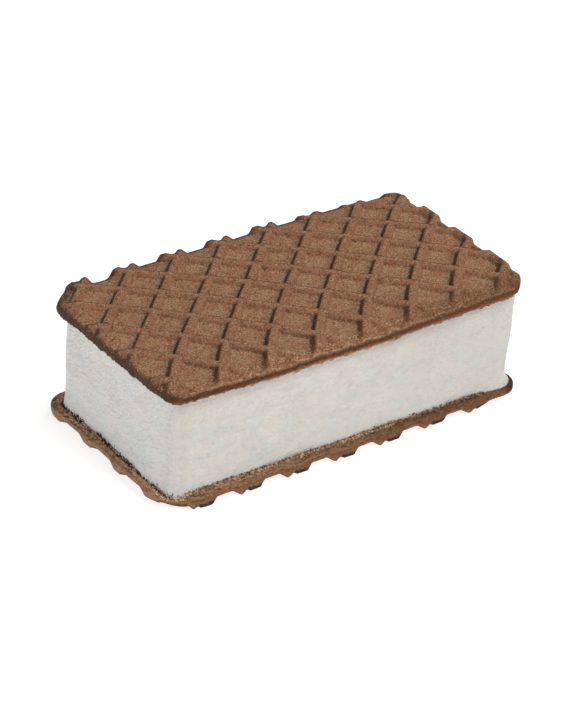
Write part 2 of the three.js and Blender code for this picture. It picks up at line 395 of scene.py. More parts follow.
def waffleRidges(net, p, at):  # both families of ridges and the rim, from 0 to 1
    fromX, fromY = patternPlace(net, p, at)
    x, y = at.x, at.y
    at.nearEdge = 1 - at.depth.smooth(0.0, p["edgeTaperWidth"])
    softness = p["ridgeSoftness"].mixed(p["endSoftness"], at.nearEdge)

    def softRamp(value, softness):
        capped = net.math("SMOOTH_MIN", value, 1.0, softness)
        return net.math("SMOOTH_MAX", capped, 0.0, softness)

    def offRidge(across):  # signed distance from the middle of the nearest ridge
        return net.math("WRAP", across / math.sqrt(2) / p["pitch"], 0.5, -0.5) * p["pitch"]

    def ridge(off, top):
        return softRamp((p["ridgeFoot"] / 2 - abs(off)) / ((p["ridgeFoot"] - top) / 2), softness)

    offSteep, offLevel = offRidge(fromY - fromX + p["steepShift"]), offRidge(fromX + fromY)
    steep = ridge(offSteep, p["ridgeTop"].mixed(p["endTopSteep"], at.nearEdge))
    level = ridge(offLevel, p["ridgeTop"].mixed(p["endTopLevel"], at.nearEdge))
    farShare = 1 - p["farFade"] * x.smooth(p["farFadeFrom"], p["farFadeTo"])
    crossReach = p["crossReach"].mixed(p["crossReachRight"], at.atRight)
    between = softRamp((crossReach - abs(offSteep) - abs(offLevel)) / p["crossSlope"], softness)
    between = between * p["crossFill"].mixed(p["crossFillRight"], at.atRight)
    between = between * at.nearEdge.smooth(0.0, 0.5) * (1 - at.atLeft * p["leftOpen"])
    backLeft = net.join(p["length"] * -0.5, p["width"] * 0.5)
    toCorner = net.vector("DISTANCE", net.join(x, y), backLeft, out=1)
    atCorner = 1 - toCorner.smooth(p["cornerFillFrom"], p["cornerFillTo"])
    between = between.atLeast(atCorner * at.nearEdge * p["cornerFill"])
    worn = x.smooth(p["wornFrom"], p["wornTo"]) * (y > p["backFrom"])
    tall = level * (1 + (p["endRaiseLevel"] * at.outY ** 2 - p["wornLevel"] * worn) * at.nearEdge)
    ridges = net.math("SMOOTH_MAX", steep, tall, p["ridgeBlend"])
    ridges = ridges.atLeast(between * (1 - worn * p["wornLevel"])) * farShare
    rim = softRamp((p["rimFoot"] - (y + p["width"] / 2)) / p["rimSlope"], p["ridgeSoftness"])
    rim = rim * p["rimHeight"]
    return SimpleNamespace(
        offSteep=offSteep, offLevel=offLevel, steep=steep, level=level, between=between,
        farShare=farShare, worn=worn, ridges=ridges, rim=rim,
        relief=net.math("SMOOTH_MAX", ridges * p["ridgeHeight"], rim, p["rimSoftness"]))


def faceHeight(p, at, face):  # height of the baked face over the flat side
    x, y = at.x, at.y
    nearEnd = 1 - (x + p["length"] / 2).smooth(0.0, p["pitch"])
    fade = p["ridgeFade"].mixed(p["ridgeFadeEnd"], nearEnd).mixed(p["wornFade"], face.worn)
    fade = fade.mixed(p["frontFade"], (0 - y).smooth(p["frontFadeFrom"], p["frontFadeTo"]))
    dent = (1 - abs(x - p["dentAt"]) / p["dentReach"]).smooth(0.0, 0.8)
    dent = dent * at.nearEdge * (y > p["backFrom"])
    taper = p["edgeTaper"] + at.atLeft * p["leftTaper"]
    height = p["floor"] * (1 - taper * at.nearEdge) + face.relief * (1 - fade * at.nearEdge)
    wornDip = x.smooth(p["wornDipFrom"], p["wornDipTo"]) * at.outY.atLeast(0.0) * p["wornDip"]
    rightLift = at.atRight * abs(at.outX) * p["rightLift"]
    return height - dent * p["dent"] + (rightLift - wornDip) * at.nearEdge


def roundedEdge(net, p, at, face):  # where each point lies once the rings are folded
    turned = at.edge * math.pi  # the section turns half a circle, squared off
    across, up = net.math("SINE", turned), net.math("COSINE", turned)
    bulge = p["edgeRound"] * abs(across) ** p["edgeBulge"]
    rise = 0.5 + up.sign() * abs(up) ** p["edgeSquare"] * 0.5  # 1 at the face, 0 at the flat side
    wave = slowWave(net, net.math("ARCTAN2", at.y, at.x), p["seed"])
    reach = (p["ridgeEndReach"] * face.ridges + p["edgeWave"] * wave) * at.nearEdge
    x, y = at.x + at.outX * (bulge + reach), at.y + at.outY * (bulge + reach)

    # A torn lower lip that hangs at -X, and a rim that sags at the front
    pastSide = at.ring - p["sideRings"]
    lip = (1 - rise / p["lipRise"]).atLeast(0.0) * (1 - pastSide.smooth(0.0, p["lipRings"]))
    torn = net.noise(net.join(x, y), p["teethSize"], p["seed"] + 3, detail=3, roughness=0.6)
    torn = torn.smooth(0.45, 0.7)
    fromFront, fromLeft = y + p["width"] / 2, x + p["length"] / 2
    hang = (1 - fromFront.smooth(0.0, p["sagWidth"])) * p["sag"]
    hang = hang * fromLeft.smooth(0.0, p["sagLeft"]) * (p["length"] / 2 - x).smooth(0.0, p["sagRight"])
    leftward = at.outX.atMost(0.0) ** 2 * fromFront.smooth(p["lipDropFrom"], p["lipDropTo"])
    droop = leftward * (1 - rise) * (1 - pastSide.smooth(0.0, p["lipDropRings"])) * p["lipDrop"]
    z = faceHeight(p, at, face) * rise - lip * torn * p["teeth"] - hang - droop

    # The last ring closes the flat side along its middle line
    last = at.ring > p["sideRings"] + p["ledgeRings"] + 0.5
    x = x.mixed(x.atMost(at.middle).atLeast(0 - at.middle), last)
    return net.join(x, y * (1 - last), z), rise, lip


def strokeShadeMark(net, p, at, face):  # the painted shade line beside each steep ridge, standing for its shadowed flank
    width = p["strokeWidth"].mixed(p["strokeWidthFront"], at.front)
    waver = net.noise(net.join(at.x, at.y), p["strokeWaver"], p["seed"] + 9)
    width = width * (0.7 + 0.6 * waver)
    strokeShade = (1 - abs(face.offSteep - p["strokeAt"]) / width).smooth(0.0, 0.6)
    onRim = (face.rim / p["rimHeight"]).smooth(0.3, 0.8)
    faded = at.x.smooth(*marks["strokeFadeX"]) * (0 - at.y).smooth(*marks["strokeFadeY"]) * 0.7
    return strokeShade * (1 - face.level.smooth(0.3, 0.8)) * (1 - onRim) * (1 - faded)


def shadeLineMark(net, p, at, face, x):  # thin painted shade lines along the level ridges: a painted shadow behind each crest and painted shade at each foot
    crest = 1 - abs(face.offLevel - p["ridgeTop"] * 0.45) / marks["lineWidth"]
    foot = 1 - abs(face.offLevel + p["ridgeFoot"] * 0.46) / marks["lineWidth"]
    foot = foot.smooth(0.0, 0.8) * (1 - face.steep.smooth(0.3, 0.8))
    pastStroke = net.math("WRAP", face.offSteep / p["pitch"], 1.0, 0.0) * p["pitch"]
    foot = foot * (1 - pastStroke.smooth(*marks["lineTo"]) * 0.8)
    footShare = at.front.smooth(0.0, 0.4) * (1 - x.smooth(*marks["lineFadeX"]) * 0.7)
    return crest.smooth(0.0, 0.7) * (1 - at.front.smooth(0.0, 0.5)) + foot * footShare.mixed(1.0, 0.15)


def waferNet():
    net = geometryNet("wafflePress")
    extra = {"frontLeft": 0.0, "frontRight": 0.0, "backLeft": 0.0, "backRight": 0.0,
             "seed": 0.0, "teeth": 0.0, "place": (0, 0, 0), "turn": (0, 0, 0), "material": None}
    p = net.ports({**wafer, **extra})
    sheet, at = foldedPlate(net, p)
    face = waffleRidges(net, p, at)
    place, rise, lip = roundedEdge(net, p, at, face)

    # painted soft shadow on the floor beside each steep ridge's shadowed flank
    besideShadow = face.offSteep.smooth(*marks["besideFrom"]) * (1 - face.offSteep.smooth(*marks["besideTo"]))
    brink = 1 - at.depth.smooth(p["edgeRound"] + marks["brinkFrom"], p["edgeRound"] + marks["brinkTo"])
    lastRing = p["sideRings"] + p["ledgeRings"]
    kept = {
        "relief": face.relief / p["ridgeHeight"],
        "edge": at.edge,
        "rise": rise,
        "rim": face.rim / p["rimHeight"],
        "lip": lip * (0 - at.outY).atLeast(0.0).mixed(1.0, p["lipAllRound"]),
        "ledge": (at.ring - p["sideRings"]).smooth(0.0, 2.0),
        "strokeShade": strokeShadeMark(net, p, at, face),
        "besideShadow": besideShadow * (1 - face.level.smooth(0.2, 0.8)),
        "shadeLine": shadeLineMark(net, p, at, face, net.split(place)[0]),
        # painted shade on the back edge's rounding, which turns away from the lamps
        "farEdgeShade": at.outY.smooth(0.3, 0.7) * brink,
        # painted shade mask for the hollows between ridge ends, which lie in shade under the lower wafer
        "under": face.steep.atLeast(face.between) * (1 - face.level) * face.farShare,
        "hidden": at.ring.smooth(lastRing - 3, lastRing),
    }
    for name, value in kept.items():
        sheet = net.keep(sheet, name, value)
    sheet = net.put(sheet, place)
    sheet = net.add("GeometryNodeMergeByDistance", inputs={
        "Geometry": sheet, "Distance": p["mergeDistance"]})

    # Baked crumb: pits and grains pushed along the surface
    here = net.add("GeometryNodeInputPosition")
    blotch = net.noise(here, p["blotchSize"], p["seed"] + 11) - 0.5
    grain = net.noise(here, p["grainSize"], p["seed"] + 13, detail=3, roughness=0.65) - 0.5
    rough = 1 - net.kept("relief") * 0.35
    depth = (blotch * 0.7 + grain * 1.3) * p["crumb"] * 2 * rough * (1 - net.kept("hidden"))
    sheet = net.push(sheet, net.scaled(net.add("GeometryNodeInputNormal"), depth))
    sheet = net.add("GeometryNodeTransform", inputs={
        "Geometry": sheet, "Translation": p["place"], "Rotation": p["turn"]})
    net.end(sheet, p["material"])
    return net


# Ice cream: a tube round the slab's outline, closed at the head and the foot.

slab = {
    "length": 106.2 * mm,
    "width": 52 * mm,
    "height": 29.3 * mm,
    "corner": 2.4 * mm,
    "lean": 2.05 * mm,  # how far the +X end leans in towards the foot
    "leanPower": 1.12,
    "headReach": 0.95 * mm,  # and stands out at the head
    "endPower": 8.0,  # how sharply an end's own values set in
    "flare": 0.3 * mm,  # how far the foot spreads all round, and how suddenly
    "flarePower": 6.0,
    "endFlare": 2.8 * mm,  # at +X
    "endFlarePower": 12.0,
    "leftFlare": 0.6 * mm,  # at -X
    "leftFlarePower": 2.5,
    "frontFlare": 0.45 * mm,  # and towards -Y, up to here
    "frontFlareTo": 8 * mm,
    "frontFlarePower": 8.0,
    "tuck": 0.6 * mm,  # how far the foot draws back at the +X -Y corner
    "tuckReach": 4 * mm,
    "tuckPower": 5.0,
    "wave": 0.3 * mm,
    "grain": 0.15 * mm,  # depth of the torn texture
    "lumpSize": 7 * mm,
    "streakSize": 2.2 * mm,
    "grainSize": 0.8 * mm,
    "around": 960,
    "levels": 88,
    "seed": 1.7,
}


def outlineCurve(net, p):
    box = net.add("GeometryNodeCurvePrimitiveQuadrilateral", inputs={
        "Width": p["length"], "Height": p["width"]})
    return net.add("GeometryNodeFilletCurve", {"mode": "POLY"}, {
        "Curve": box, "Count": 8, "Radius": p["corner"]})


def outlinePoint(net, p, factor):  # a place on the outline, and the way out from it
    sample = net.add("GeometryNodeSampleCurve", {"use_all_curves": True}, {
        "Curves": outlineCurve(net, p), "Factor": factor})
    place, tangent = sample.output(1), sample.output(2)
    side = net.vector("CROSS_PRODUCT", tangent, (0, 0, 1))
    facing = net.vector("DOT_PRODUCT", side, place, out=1)
    return place, net.scaled(side, facing.sign())


def slabSway(net, p, place, out, share):  # how far the side leans or spreads at each point
    x, y, _ = net.split(place)
    outY = net.split(out)[1]
    angle = net.math("ARCTAN2", y / p["width"], x / p["length"])
    end = (x / (p["length"] / 2)).atLeast(0.0) ** p["endPower"]
    leftEnd = (0 - x / (p["length"] / 2)).atLeast(0.0) ** p["endPower"]
    toCorner = net.vector("DISTANCE", place, net.join(p["length"] / 2, p["width"] * -0.5), out=1)
    tucked = 1 - toCorner.smooth(0.0, p["tuckReach"])
    end = end * (1 - tucked * (1 - share) ** 2 * 0.4)
    low = 1 - share
    spread = p["flare"] * low ** p["flarePower"] + p["endFlare"] * end * low ** p["endFlarePower"]
    spread = spread + p["leftFlare"] * leftEnd * low ** p["leftFlarePower"]
    spread = spread - p["tuck"] * tucked * low ** p["tuckPower"]
    inFront = (0 - outY).atLeast(0.0) * (1 - x.smooth(0 - p["frontFlareTo"], p["frontFlareTo"]))
    spread = spread + p["frontFlare"] * inFront * low ** p["frontFlarePower"]
    lean = (p["lean"] * low ** p["leanPower"] - p["headReach"]) * end
    ripple = slowWave(net, angle, share * 2.2 + 1.7) + net.math("SINE", share * 9 + angle * 4) * 0.5
    return spread - lean + p["wave"] * ripple


def slabNet():
    net = geometryNet("slabOfIceCream")
    p = net.ports({**slab, "place": (0, 0, 0), "material": None})
    tube = net.add("GeometryNodeMeshCylinder", {"fill_type": "TRIANGLE_FAN"}, {
        "Vertices": p["around"], "Side Segments": p["levels"], "Fill Segments": 2,
        "Radius": 1.0, "Depth": 1.0})
    x, y, z = net.split(net.add("GeometryNodeInputPosition"))
    turn = net.math("ARCTAN2", y, x) / (2 * math.pi)
    radius = net.math("SQRT", x ** 2 + y ** 2)
    share = z + 0.5  # 0 at the foot, 1 at the head
    place, out = outlinePoint(net, p, net.math("FRACT", turn + 1))
    placeX, placeY, _ = net.split(place)
    outX, outY, _ = net.split(out)
    sway = slabSway(net, p, place, out, share)
    tube = net.keep(tube, "side", (radius > 0.99))
    tube = net.keep(tube, "face", abs(outY))
    tube = net.put(tube, net.join(
        (placeX + outX * sway) * radius, (placeY + outY * sway) * radius, share * p["height"]))

    # Torn ice cream: lumps, streaks and grain pushed along the surface
    here = net.add("GeometryNodeInputPosition")
    lumps = net.noise(here, p["lumpSize"], p["seed"], detail=2, stretch=(0.7, 0.7, 1.2)) - 0.5
    streaks = net.noise(here, p["streakSize"], p["seed"] + 5, detail=3, stretch=(0.5, 0.5, 1.2)) - 0.5
    grain = net.noise(here, p["grainSize"], p["seed"] + 9, detail=2, roughness=0.6) - 0.5
    torn = net.kept("face").smooth(0.3, 0.8) * 0.7 + 0.3
    depth = (lumps * 1.0 + streaks * 1.2 + grain * 0.9) * p["grain"] * 2 * torn * net.kept("side")
    tube = net.push(tube, net.scaled(net.add("GeometryNodeInputNormal"), depth))
    tube = net.add("GeometryNodeTransform", inputs={"Geometry": tube, "Translation": p["place"]})
    net.end(tube, p["material"])
    return net


# Crumbs: small broken grains scattered along the slab's outline.

crumb = {
    "length": slab["length"],
    "width": slab["width"],
    "corner": slab["corner"],
    "count": 900,
    "smallest": 0.1 * mm,
    "largest": 0.32 * mm,
    "outFrom": -0.1 * mm,
    "outTo": 0.7 * mm,
    "upFrom": -0.1 * mm,
    "upTo": 0.35 * mm,
    "stretch": 1.0,  # length against width, for slivers
    "xFrom": -60 * mm,
    "xTo": 60 * mm,
    "clump": 3.5 * mm,
    "gather": 0.5,  # share of the outline that stays bare
    "side": (0, 0, 0),  # where they gather
    "seed": 3,
    "dent": 0.25 * mm,
    "place": (0, 0, 0),
}


def crumbNet():
    net = geometryNet("crumbs")
    p = net.ports({**crumb, "material": None})

    def draw(low, high, offset, kind="FLOAT"):
        spots = {"FLOAT": (2, 3, 1), "FLOAT_VECTOR": (0, 1, 0)}[kind]
        inputs = {spots[0]: low, spots[1]: high, "Seed": p["seed"] + offset}
        return net.add("FunctionNodeRandomValue", {"data_type": kind}, inputs, spots[2])

    place, out = outlinePoint(net, p, draw(0.0, 1.0, 0))
    placeX, placeY, _ = net.split(place)
    outX, outY, _ = net.split(out)
    away = draw(p["outFrom"], p["outTo"], 1)
    spot = net.join(placeX + outX * away, placeY + outY * away, draw(p["upFrom"], p["upTo"], 2))
    points = net.add("GeometryNodePoints", inputs={"Count": p["count"], "Position": spot})
    here = net.add("GeometryNodeInputPosition")
    clump = net.noise(here, p["clump"], p["seed"], detail=2)
    lean = net.vector("DOT_PRODUCT", here, p["side"], out=1)
    hereX = net.split(here)[0]
    chosen = (clump + lean > p["gather"]) * (hereX > p["xFrom"]) * (hereX < p["xTo"])
    grain = net.add("GeometryNodeMeshIcoSphere", inputs={"Radius": 1.0, "Subdivisions": 1})
    size = draw(0.0, 1.0, 3) ** 2.0
    size = p["smallest"].mixed(p["largest"], size)
    shape = draw((0.6, 0.6, 0.45), (1.1, 1.0, 0.9), 4, "FLOAT_VECTOR")
    scale = net.vector("MULTIPLY", shape, net.join(size * p["stretch"], size, size))
    grains = net.add("GeometryNodeInstanceOnPoints", inputs={
        "Points": points, "Selection": chosen, "Instance": grain, "Scale": scale,
        "Rotation": draw((0, 0, 0), (6.3, 6.3, 6.3), 5, "FLOAT_VECTOR")})
    grains = net.add("GeometryNodeRealizeInstances", inputs={0: grains})
    dent = net.add("ShaderNodeTexNoise", {"noise_dimensions": "3D"}, {
        "Vector": net.add("GeometryNodeInputPosition"), "Scale": 1 / p["dent"]}, 1)
    dent = net.vector("SUBTRACT", dent, (0.5, 0.5, 0.5))
    grains = net.push(grains, net.scaled(dent, p["smallest"] * 1.2))
    grains = net.add("GeometryNodeTransform", inputs={"Geometry": grains, "Translation": p["place"]})
    net.end(grains, p["material"])
    return net


# Materials

def shaderNet(name):
    material = bpy.data.materials.new(name)
    material.use_nodes = True
    material.node_tree.nodes.clear()
    return material, Net(material.node_tree)


def surface(net, colour, roughness, bump, bumpDepth, bumpStrength, **fixed):
    normal = net.add("ShaderNodeBump", inputs={
        "Height": bump, "Distance": bumpDepth, "Strength": bumpStrength})
    shader = net.add("ShaderNodeBsdfPrincipled", inputs={
        "Base Color": colour, "Roughness": roughness, "Normal": normal, **fixed})
    net.add("ShaderNodeOutputMaterial", inputs={"Surface": shader})


bake = {
    "floor": (0.378, 0.222, 0.124, 1),
    "patch": (0.340, 0.158, 0.083, 1),
    "red": (0.296, 0.134, 0.072, 1),
    "ridge": (0.272, 0.142, 0.081, 1),
    # painted shade for the shadowed flank of each steep ridge
    "strokeShade": (0.055, 0.022, 0.011, 1),
    # painted shade for the creases at the feet of the ridges and the rim
    "creaseShade": (0.170, 0.070, 0.034, 1),
    "pit": (0.120, 0.048, 0.020, 1),
    # sugar grains, and also the painted highlight on the rim's crest
    "sugarAndHighlight": (0.58, 0.385, 0.235, 1),
    # painted shadow and shade along the level ridges' crests and feet
    "shadeLineTone": (0.062, 0.024, 0.012, 1),
    "edge": (0.054, 0.023, 0.012, 1),
    "lip": (0.42, 0.23, 0.11, 1),
    "ledge": (0.70, 0.42, 0.235, 1),
    # painted shade for the lower wafer's hollows and lower edge; also used at its +X end
    "under": (0.035, 0.016, 0.009, 1),
    "right": (0.14, 0.066, 0.036, 1),
    "crack": (0.085, 0.030, 0.014, 1),
    # painted soft shadow beside each steep ridge
    "besideShadow": (0.185, 0.115, 0.075, 1),
    # painted shade on the upper wafer's shaded -X end
    "left": (0.045, 0.028, 0.019, 1),
    "leftShare": 0.65,
    "cornerShare": 0.85,
    "lowBandShare": 0.7,
    "underShare": 0.0,
    "rightShare": 0.0,
    "crackShare": 0.0,
}


spots = {  # sizes of the baked patches and grains, and the depth of their bump
    "patch": 2.4 * mm,
    "broken": 1.8 * mm,
    "crack": 1.6 * mm,
    "mottle": 1.1 * mm,
    "grain": 0.42 * mm,
    "bump": 0.12 * mm,
}
stretches = {  # along X or Y, where a colour sets in and where it is full
    "band": (-46 * mm, -10 * mm),
    "browLight": (-30 * mm, 0.0),
    "lip": (-50 * mm, -10 * mm),
    "ledge": (-10 * mm, 25 * mm),
    "right": (-66 * mm, 40 * mm),
    "end": (49 * mm, 53 * mm),
    "front": (8 * mm, 26 * mm),
    "frontIn": (-28.5 * mm, -23 * mm),
    "left": (-56 * mm, -49 * mm),
    "under": (-56 * mm, -46 * mm),
    "corner": (3 * mm, 14 * mm),  # distances from the corner's place
}
cornerPlace = (57 * mm, -33 * mm, 38 * mm)


def faceColour(net, place, kept, tones):  # floors and ridges, then painted shade in creases, along the level ridges and on the strokes
    relief = kept("relief")
    patch = net.noise(place, spots["patch"], 1, detail=2)
    broken = net.noise(place, spots["broken"], 6, detail=2).smooth(0.3, 0.6)
    # painted shade in the crease at each ridge's foot
    creaseShade = relief.smooth(0.02, 0.12) * (1 - relief.smooth(0.25, 0.6))
    colour = net.colour(patch.smooth(0.42, 0.6), tones["floor"], tones["patch"])
    colour = net.colour(relief.smooth(0.1, 0.4) * 0.7, colour, tones["red"])
    colour = net.colour(relief.smooth(0.75, 0.95) * 0.6, colour, tones["ridge"])
    colour = net.colour(creaseShade * 0.3, colour, tones["creaseShade"])
    # painted soft shadow beside each steep ridge
    colour = net.colour(kept("besideShadow") * 0.6, colour, tones["besideShadow"])
    # painted shadow lines along the level ridges, broken here and there
    colour = net.colour(kept("shadeLine") * (0.35 + broken * 0.65) * 0.9, colour, tones["shadeLineTone"])
    # painted shade on the shadowed flank of each steep ridge
    return net.colour(kept("strokeShade") * 0.82, colour, tones["strokeShade"])


def sideColour(net, place, kept, tones, colour, mottle):  # the band round the edge, and the rim
    x = net.split(place)[0]
    edge, rise, rim = kept("edge"), kept("rise"), kept("rim")
    # painted light: on the upper rounding of the edge the dark side colour is held back, where that
    # rounding turns up towards the lamps
    browLight = (rise + (mottle - 0.5) * 0.6).smooth(0.70, 0.92) * 0.75
    browLight = browLight * (1 - x.smooth(*stretches["browLight"]) * tones["cornerShare"] * 0.7)
    side = (edge + (mottle - 0.5) * 0.5).smooth(0.08, 0.4) * (1 - browLight) * 0.95
    colour = net.colour(side, colour, tones["edge"])
    lowBand = (1 - (rise + (mottle - 0.5) * 0.9).smooth(0.2, 0.6)) * edge.smooth(0.35, 0.55)
    lowBand = lowBand * x.smooth(*stretches["band"])
    colour = net.colour(lowBand * tones["lowBandShare"], colour, tones["red"])
    # painted shade on the back edge's rounding
    colour = net.colour(kept("farEdgeShade") * 0.9, colour, tones["edge"])
    # painted shade in the crease at the rim's foot
    rimFoot = rim.smooth(0.02, 0.2) * (1 - rim.smooth(0.3, 0.7))
    # painted highlight along the rim's crest, where its rounding catches the light
    rimHighlight = rim.smooth(0.8, 0.95) * edge.smooth(0.0, 0.08) * (1 - edge.smooth(0.1, 0.22))
    colour = net.colour(rimFoot * 0.5, colour, tones["creaseShade"])
    colour = net.colour(rimHighlight * mottle.smooth(0.4, 0.55) * 0.5, colour, tones["sugarAndHighlight"])
    # on the lower wafer this lip tone is a painted highlight along the rounded edge of its upper flat
    # side; on the upper wafer it is the golden torn lip
    lip = kept("lip").smooth(0.08, 0.35) * mottle.smooth(0.36, 0.48)
    lip = lip * x.smooth(*stretches["lip"]).mixed(1.0, 0.5)
    return net.colour(lip, colour, tones["lip"])


def endColour(net, place, kept, tones, colour, mottle, atEnd):  # darker and lighter ends and corners
    x, y, _ = net.split(place)
    edge = kept("edge")
    ledge = kept("ledge") * (1 - x.smooth(*stretches["ledge"]) * tones["rightShare"] * 0.9)
    colour = net.colour(ledge, colour, tones["ledge"])
    atRight = x.smooth(*stretches["right"]) * edge.smooth(0.3, 0.6)
    colour = net.colour(atRight * tones["rightShare"], colour, tones["right"])
    colour = net.colour(atEnd, colour, tones["under"])
    toCorner = net.vector("DISTANCE", place, cornerPlace, out=1)
    dusk = (1 - toCorner.smooth(*stretches["corner"])) * (0.5 + mottle.smooth(0.35, 0.6) * 0.5)
    colour = net.colour(dusk * tones["cornerShare"], colour, tones["pit"])
    inFront = x.smooth(*stretches["front"]) * (1 - y.smooth(*stretches["frontIn"]))
    inFront = inFront * (0.15 + mottle.smooth(0.35, 0.6) * 0.6)
    colour = net.colour(inFront * tones["cornerShare"], colour, tones["pit"])
    # at -X: painted shade on the upper wafer's left end; the lower wafer's tone there is lighter
    atLeft = (1 - x.smooth(*stretches["left"])) * edge.smooth(0.05, 0.3).mixed(1.0, 0.3)
    return net.colour(atLeft * tones["leftShare"], colour, tones["left"])


def waferMaterial(name, tones):
    material, net = shaderNet(name)
    place = net.add("ShaderNodeTexCoord", out=3)
    x = net.split(place)[0]
    mottle = net.noise(place, spots["mottle"], 2, detail=3, roughness=0.6)
    grain = net.noise(place, spots["grain"], 3, detail=2, roughness=0.6)

    def kept(attribute):
        return net.add("ShaderNodeAttribute", {"attribute_name": attribute}, out=2)

    relief, edge, rise = kept("relief"), kept("edge"), kept("rise")
    atEnd = x.smooth(*stretches["end"]) * edge.smooth(0.3, 0.6) * tones["rightShare"]
    colour = faceColour(net, place, kept, tones)
    colour = sideColour(net, place, kept, tones, colour, mottle)
    colour = endColour(net, place, kept, tones, colour, mottle, atEnd)

    # Cracks, pits and sugar grains over all of it, and painted shade in the hollows between ridge ends
    # and along the lower wafer's lower edge
    crack = net.noise(place, spots["crack"], 5, detail=3, roughness=0.6, stretch=(0.3, 0.5, 1.0))
    crack = (1 - abs(crack - 0.5) / 0.04).atLeast(0.0) * (1 - rise.smooth(0.3, 0.6))
    colour = net.colour(crack * tones["crackShare"], colour, tones["crack"])
    colour = net.colour((1 - mottle.smooth(0.30, 0.5)) * 0.6, colour, tones["pit"])
    colour = net.colour((1 - grain.smooth(0.34, 0.5)) * 0.75, colour, tones["pit"])
    flank = relief.smooth(0.05, 0.3) * (1 - relief.smooth(0.85, 1.0))
    calm = (1 - flank * 0.6) * (1 - edge.smooth(0.2, 0.5) * (1 - kept("ledge")) * 0.7) * (1 - atEnd)
    colour = net.colour(grain.smooth(0.50, 0.66) * 0.55 * calm, colour, tones["sugarAndHighlight"])
    # painted shade in the hollows between ridge ends and along the lower edge
    under = kept("under").smooth(0.25, 0.6) * (rise + (mottle - 0.5) * 0.5).smooth(0.56, 0.72)
    under = (under + rise.smooth(0.8, 0.95) * 0.5) * x.smooth(*stretches["under"]).mixed(1.0, 0.25)
    colour = net.colour(under * edge.smooth(0.0, 0.1) * tones["underShare"], colour, tones["under"])
    roughness = 0.85 - grain.smooth(0.55, 0.75) * 0.2
    bump = mottle * 0.5 + grain
    surface(net, colour, roughness, bump, spots["bump"], 0.8, **{"Specular IOR Level": 0.12})
    return material


cream = {
    "light": (0.735, 0.71, 0.665, 1),
    "shade": (0.59, 0.57, 0.535, 1),
    "warm": (0.70, 0.65, 0.60, 1),
    "cool": (0.65, 0.655, 0.62, 1),
    # painted shade by the slab's rounded front-left vertical corner
    "corner": (0.55, 0.51, 0.485, 1),
    "streakSize": 3 * mm,
    "tintSize": 5 * mm,
    "grainSize": 0.6 * mm,
    "bump": 0.55 * mm,
    "scatter": 0.8 * mm,  # how far light spreads under the surface
    "cornerShadeReach": 6.5 * mm,
    "shadeStretch": (-20 * mm, 55 * mm),  # along X, where the shade sets in and is full
}


def iceCreamMaterial():
    material, net = shaderNet("plainIceCream")
    place = net.add("ShaderNodeTexCoord", out=3)
    streak = net.noise(place, cream["streakSize"], 1, detail=3, stretch=(0.5, 0.5, 1.1))
    tint = net.noise(place, cream["tintSize"], 7, detail=2)
    grain = net.noise(
        place, cream["grainSize"], 2, detail=2, roughness=0.6, stretch=(0.6, 0.6, 1.0))
    colour = net.colour(streak.smooth(0.35, 0.65) * 0.5 + grain.smooth(0.35, 0.65) * 0.5,
                        cream["shade"], cream["light"])
    colour = net.colour(tint.smooth(0.45, 0.65) * 0.7, colour, cream["warm"])
    colour = net.colour((1 - tint.smooth(0.35, 0.5)) * 0.7, colour, cream["cool"])
    # painted shade along the rounded front-left vertical corner
    flat = net.vector("MULTIPLY", place, (1, 1, 0))
    toCorner = net.vector("DISTANCE", flat, (slabLow.x, slabLow.y, 0), out=1)
    colour = net.colour((1 - toCorner.smooth(0.0, cream["cornerShadeReach"])) * 0.8, colour, cream["corner"])
    farther = net.split(place)[0].smooth(*cream["shadeStretch"])
    colour = net.colour(farther * 0.3, colour, cream["shade"])
    surface(net, colour, 0.6, grain + streak * 0.5, cream["bump"], 0.95, **{
        "Specular IOR Level": 0.3, "Subsurface Weight": 0.3, "Subsurface Scale": cream["scatter"],
        "Subsurface Radius": (1.0, 0.85, 0.7)})
    return material


grit = {"tone": 0.9 * mm, "grain": 0.2 * mm, "bump": 0.05 * mm}  # sizes on a single crumb


def crumbMaterial(name, dark, light):
    material, net = shaderNet(name)
    place = net.add("ShaderNodeTexCoord", out=3)
    tone = net.noise(place, grit["tone"], 4, detail=1)
    grain = net.noise(place, grit["grain"], 5, detail=2)
    colour = net.colour(tone.smooth(0.35, 0.65), dark, light)
    surface(net, colour, 0.85, grain, grit["bump"], 0.6, **{"Specular IOR Level": 0.3})
    return material


# The pieces

waferPress = waferNet()


def boxMiddle(node, height, shift=0.0):  # over the node's middle, at that height
    low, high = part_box(node)
    return ((low.x + high.x) / 2 + shift, (low.y + high.y) / 2, height)


